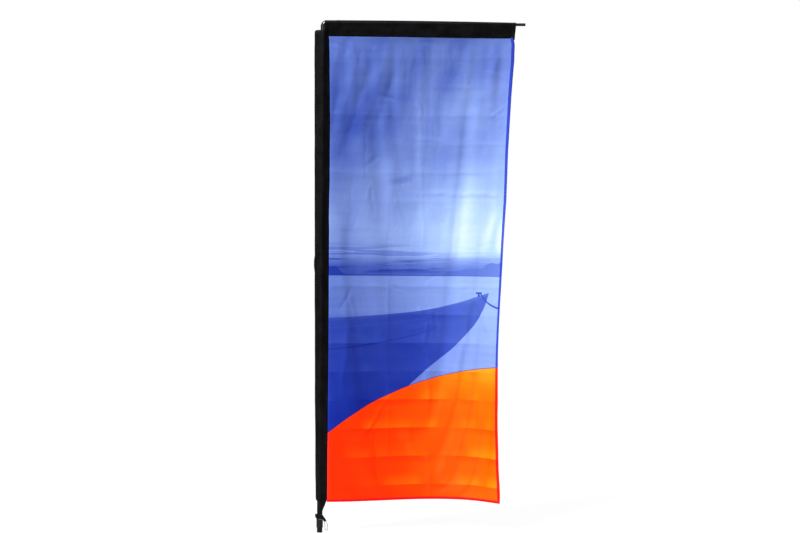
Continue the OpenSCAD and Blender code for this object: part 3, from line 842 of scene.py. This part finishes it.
def make_binding():
    left, right = binding_low.x, binding_high.x
    rings = []
    stations = np.linspace(left, right, 8)
    for x in stations:
        t = (x - left) / (right - left)
        low = sleeve_drop(x) + 0.001 + 0.007 * math.sin(math.pi * (0.12 + 0.80 * t))
        outline = pull_outline(0.0090 + sleeve_crease(x), low, BINDING_R, BINDING_SEWN, ROUND_STEPS)
        lean = [0.004 * float(ease(0.01, 0.06, down)) for down, y in outline]
        rings.append([(x - back, y * 1.06, ARM_Z - down) for back, (down, y) in zip(lean, outline)])
    obj = loft("binding", rings, stations - left)
    thicken(obj, BINDING_T, 1.0)
    obj.data.materials.append(black_cloth("binding_tape", right - left, 0.002))
    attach(obj, "banner")
    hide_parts("sleeve_end_binding")
    return obj


def black_cloth(name, length, hem):
    """Black polyester, with a row of stitches at a distance from each end and two along the seam."""
    p = Paint(name, 0.42, sheen=0.006, sheen_roughness=0.45, specular=0.06)
    around, along = p.uv()
    threads = weave(around, along, 0.0008)
    mottle = p.noise(around * 30.0, along * 12.0, 0.0, scale=1.0, detail=4)
    dust = p.noise(around, along, 2.0, scale=900.0, detail=2)
    tone = p.mix(mottle.ramp(0.3, 0.75), srgb(5, 5, 6), srgb(14, 14, 16))
    tone = p.mix(dust.ramp(0.62, 0.80) * 0.2, tone, srgb(36, 36, 40))
    thread = stitches(along, around, hem).most(stitches(length - along, around, hem))
    thread = thread.most(stitches(around, along, 0.005)).most(stitches(around, along, 0.0015))
    tone = p.mix(thread * 0.5, tone, srgb(44, 44, 49))
    p.color(tone)
    p.rough(0.36 + mottle * 0.14)
    p.bump(threads * 0.5 + dust * 0.4 - thread * 1.4, 0.00015, 0.7)
    return p.material


# ---------------------------------------------------------------- tie and cord

CORD_D = 0.0025
CORD_ROUTE = [
    (-0.003, -0.0176, 0.062), (0.004, -0.0184, 0.0605), (0.011, -0.0182, 0.060), (0.0165, -0.0175, 0.0575),
    (0.0208, -0.0168, 0.051), (0.0232, -0.0164, 0.042), (0.0242, -0.0162, 0.032), (0.0248, -0.016, 0.023),
    (0.0264, -0.016, 0.0166), (0.0311, -0.016, 0.0127), (0.0360, -0.016, 0.0164), (0.0376, -0.016, 0.0240),
    (0.0362, -0.016, 0.033), (0.0335, -0.0158, 0.043), (0.030, -0.0152, 0.051),
]


def make_cord():
    line = smooth_path(CORD_ROUTE, 4)
    data = bpy.data.curves.new("cord", "CURVE")
    data.dimensions, data.bevel_depth, data.bevel_resolution = "3D", CORD_D / 2, 4
    data.use_fill_caps = True
    spline = data.splines.new("POLY")
    spline.points.add(len(line) - 1)
    for point, place in zip(spline.points, line):
        point.co = (*place, 1)
    spline.use_smooth = True
    obj = bpy.data.objects.new("cord", data)
    scene.collection.objects.link(obj)
    data.materials.append(elastic())
    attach(obj, "banner")
    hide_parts("cord_loop")
    length = sum((b - a).length for a, b in zip(line, line[1:]))
    return obj


def elastic():
    """Braided elastic: light grey, with crossing strands."""
    p = Paint("elastic_cord", 0.6, sheen=0.1, specular=0.3)
    x, y, z = p.place()
    turn = 2 * math.pi / 0.0016
    strands = ((x + z) * turn).sine() * ((x - z) * turn).sine() * 0.5 + 0.5
    soil = p.noise(x, y, z, scale=180.0, detail=3)
    tone = p.mix(strands, srgb(52, 52, 57), srgb(104, 104, 110))
    p.color(p.mix(soil.ramp(0.5, 0.8) * 0.3, tone, srgb(46, 45, 48)))
    p.rough(0.5 + soil * 0.2)
    p.bump(strands, 0.0003, 0.8)
    return p.material


def webbing():
    """Black woven strap with ribs across it."""
    p = Paint("webbing", 0.7, sheen=0.006, sheen_roughness=0.5, specular=0.05)
    around, along = p.uv()
    ribs = (along * (2 * math.pi / 0.0014)).sine() * 0.5 + 0.5
    twill = weave(around, along, 0.0011)
    fuzz = p.noise(around, along, 1.0, scale=700.0, detail=3)
    tone = p.mix(ribs * 0.5 + twill * 0.5, srgb(6, 6, 7), srgb(16, 16, 18))
    p.color(p.mix(fuzz.ramp(0.6, 0.8) * 0.3, tone, srgb(48, 48, 53)))
    p.rough(0.66 + fuzz * 0.2)
    p.bump(ribs * 0.6 + twill * 0.3 + fuzz * 0.2, 0.0003, 0.8)
    return p.material


def make_tie():
    """The strap sewn to the pocket's corner, its wraps round the pole and its short tail."""
    material = webbing()
    made = []
    strap = [
        (0.0215, -0.0082, 0.172), (0.0212, -0.0084, 0.158), (0.0205, -0.0088, 0.146),
        (0.0130, -0.0135, 0.124), (0.0050, -0.0166, 0.104), (0.0012, -0.0176, 0.090),
        (0.0000, -0.0178, 0.076),
    ]
    lean = [
        (0.86, 0.50, 0), (0.86, 0.50, 0), (0.87, 0.48, 0), (0.94, 0.32, -0.1), (0.98, 0.12, -0.2),
        (1, 0, -0.2), (1, 0, -0.2),
    ]
    line = smooth_path(strap, 4)
    widths = np.interp(np.linspace(0, 1, len(line)), (0, 0.4, 0.75, 1), (0.0225, 0.0215, 0.0185, 0.0175))
    made.append(ribbon("strap", line, smooth_path(lean, 4), widths, 0.0010))

    def wrap(name, centre, radii, height, slant, start, lift):
        path, sides = [], []
        steps = 52
        for k in range(steps + 1):
            t = start + 2 * math.pi * k / steps
            r = 1 + 0.02 * math.sin(3 * t + lift * 900)
            x, y = centre[0] + radii[0] * r * math.cos(t), radii[1] * r * math.sin(t)
            drop = slant * (float(ease(0.0, 0.02, x)) * 0.007 + 0.0015 * x / 0.02)
            path.append((x, y, centre[1] - drop + lift * k / steps + 0.0008 * math.sin(2 * t)))
            sides.append((0.10 * math.cos(t + 1), 0.10 * math.sin(t + 1), 1))
        return ribbon(name, path, sides, height, 0.0013)

    made.append(wrap("wrap_under", (-0.0010, 0.0695), (0.0172, 0.0168), 0.0160, 1, 0.4, 0.0010))
    made.append(wrap("wrap_over", (-0.0016, 0.0715), (0.0190, 0.0184), 0.0145, 1, 4.0, 0.0030))
    tail = [
        (0.0040, -0.0194, 0.0760), (0.0090, -0.0192, 0.0735), (0.0145, -0.0182, 0.0690),
        (0.0195, -0.0170, 0.0630), (0.0240, -0.0162, 0.0575), (0.0282, -0.0156, 0.0520),
    ]
    line = smooth_path(tail, 4)
    widths = np.interp(np.linspace(0, 1, len(line)), (0, 0.6, 1), (0.0150, 0.0125, 0.0100))
    made.append(ribbon("tail", line, [(0.60, 0.1, 0.72)] * len(line), widths, 0.0018))
    for obj in made:
        subdivide(obj, 1)
        obj.data.materials.append(material)
        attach(obj, "banner")
    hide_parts("tie_strap")
    return made


# ---------------------------------------------------------------- finishes of the CAD nodes

def anodised(name, tone, edge_z=None):
    """Black anodised tube: fine lines drawn along it, a few rubs, bright metal worn at the cut end."""
    p = Paint(name, 0.36, metallic=0.1, specular=0.14)
    x, y, z = p.place()
    lines = p.noise(x, y, z * 0.02, scale=1400.0, detail=3)
    rubs = p.noise(x * 40.0, y * 40.0, z * 5.0, scale=1.0, detail=5, roughness=0.65)
    color = p.mix(rubs.ramp(0.45, 0.80), srgb(*tone), srgb(*(c + 10 for c in tone)))
    if edge_z is not None:
        chip = (z - edge_z).size() + (rubs - 0.5) * 0.004
        color = p.mix(chip.ramp(0.0008, 0.0022, 0.85, 0), color, srgb(150, 150, 156))
    p.color(color)
    p.rough(0.28 + lines * 0.14 + rubs * 0.14)
    p.bump(lines, 0.00006, 0.5)
    return p.material


def moulded(name, tone, gloss, coat=0.0, specular=0.22):
    """Injection-moulded plastic with a fine grain."""
    p = Paint(name, gloss, coat=coat, specular=specular)
    x, y, z = p.place()
    grain = p.noise(x, y, z, scale=1800.0, detail=2)
    cloud = p.noise(x, y, z, scale=60.0, detail=4)
    p.color(p.mix(cloud.ramp(0.35, 0.75), srgb(*tone), srgb(*(min(255, c + 9) for c in tone))))
    p.rough(gloss - 0.05 + cloud * 0.10)
    p.bump(grain, 0.00008, 0.35)
    return p.material


def bare_metal(name):
    """Plain drawn aluminium with fine lines along it."""
    p = Paint(name, 0.35, metallic=1.0)
    x, y, z = p.place()
    lines = p.noise(x, y, z * 0.03, scale=900.0, detail=3)
    p.color(p.mix(lines, srgb(168, 170, 176), srgb(196, 198, 204)))
    p.rough(0.26 + lines * 0.2)
    p.bump(lines, 0.00005, 0.5)
    return p.material


def glass_fibre(name):
    """Black pultruded rod: long fibres just under a satin resin."""
    p = Paint(name, 0.4, specular=0.3)
    x, y, z = p.place()
    fibres = p.noise(x * 0.02, y, z, scale=2200.0, detail=3)
    cloud = p.noise(x * 6.0, y * 30.0, z * 30.0, scale=1.0, detail=3)
    p.color(p.mix(fibres * 0.7 + cloud * 0.3, srgb(8, 8, 10), srgb(24, 24, 27)))
    p.rough(0.32 + fibres * 0.16)
    p.bump(fibres, 0.00006, 0.6)
    return p.material


def finish_nodes():
    """Gives each hard CAD node its material."""
    pole = anodised("pole_black", (9, 9, 11), 0.0)
    nylon = moulded("nylon", (190, 188, 178), 0.45)
    metal = bare_metal("bare_metal")
    given = {
        "lower_tube": pole, "upper_tube": anodised("upper_pole_black", (9, 9, 11)),
        "joint_ferrule": anodised("ferrule_black", (10, 10, 12)),
        "foot_collar": moulded("collar_black", (9, 9, 11), 0.42),
        "socket_stop": nylon, "top_bush": nylon, "stop_rivets": metal, "spigot_rivets": metal,
        "joint_spigot": metal, "spigot_nose": moulded("plug_black", (16, 16, 18), 0.5),
        "elbow": moulded("elbow_gloss", (6, 6, 9), 0.30, 0.35, 0.4),
        "arm_tube": glass_fibre("arm_black"), "arm_tip_cap": moulded("cap_black", (9, 9, 10), 0.5),
    }
    for name, material in given.items():
        obj = nodes[name]
        obj.data.materials.clear()
        obj.data.materials.append(material)


# ---------------------------------------------------------------- light and floor

FLOOR_R, FLOOR_X, FLOOR_SIDES = 2, 0.4, 96
# How bright the white surroundings are to the camera, and as light on the object.
SKY_SEEN, SKY_LIGHT = 1.0, 0.16


def sun(name, place, strength, angle):
    """A broad soft lamp far away, in the direction of place."""
    data = bpy.data.lights.new(name, "SUN")
    data.energy, data.angle = strength, math.radians(angle)
    obj = bpy.data.objects.new(name, data)
    scene.collection.objects.link(obj)
    obj.location = place
    obj.rotation_euler = Vector(place).to_track_quat("Z", "Y").to_euler()
    return obj


def make_studio():
    sun("key", (-0.46, -0.56, 0.68), 6.1, 16)
    sun("side", (-0.55, -1.0, 0.17), 0.45, 30)
    sun("fill", (0.9, -1.0, 0.3), 0.15, 60)
    sun("top", (0.05, -0.1, 1.0), 0.7, 50)
    sun("rear", (0.4, 1.0, 0.5), 1.4, 50)
    world = bpy.data.worlds.new("studio")
    world.use_nodes = True
    tree = world.node_tree
    sky = tree.nodes["Background"]
    sky.inputs["Color"].default_value = (1, 1, 1, 1)
    path = tree.nodes.new("ShaderNodeLightPath")
    strength = Value(tree, path.outputs["Is Camera Ray"]) * (SKY_SEEN - SKY_LIGHT) + SKY_LIGHT
    tree.links.new(strength.socket, sky.inputs["Strength"])
    scene.world = world
    scene.view_settings.view_transform = "Standard"

    around = [2 * math.pi * k / FLOOR_SIDES for k in range(FLOOR_SIDES)]
    rim = [(FLOOR_X + FLOOR_R * math.cos(t), FLOOR_R * math.sin(t), -0.001) for t in around]
    floor = mesh_object("floor", rim, [tuple(range(FLOOR_SIDES))])
    p = Paint("floor", 0.9, specular=0.1)
    x, y, z = p.place()
    p.color(p.mix(p.noise(x, y, 0.0, scale=0.5, detail=2), srgb(86, 86, 86), srgb(90, 90, 90)))
    p.shader.inputs["Emission Color"].default_value = (1, 1, 1, 1)
    p.shader.inputs["Emission Strength"].default_value = 0.9
    floor.data.materials.append(p.material)


make_camera()
make_cord()
make_panel()
make_pocket()
make_sleeve()
make_binding()
make_tie()
finish_nodes()
make_studio()
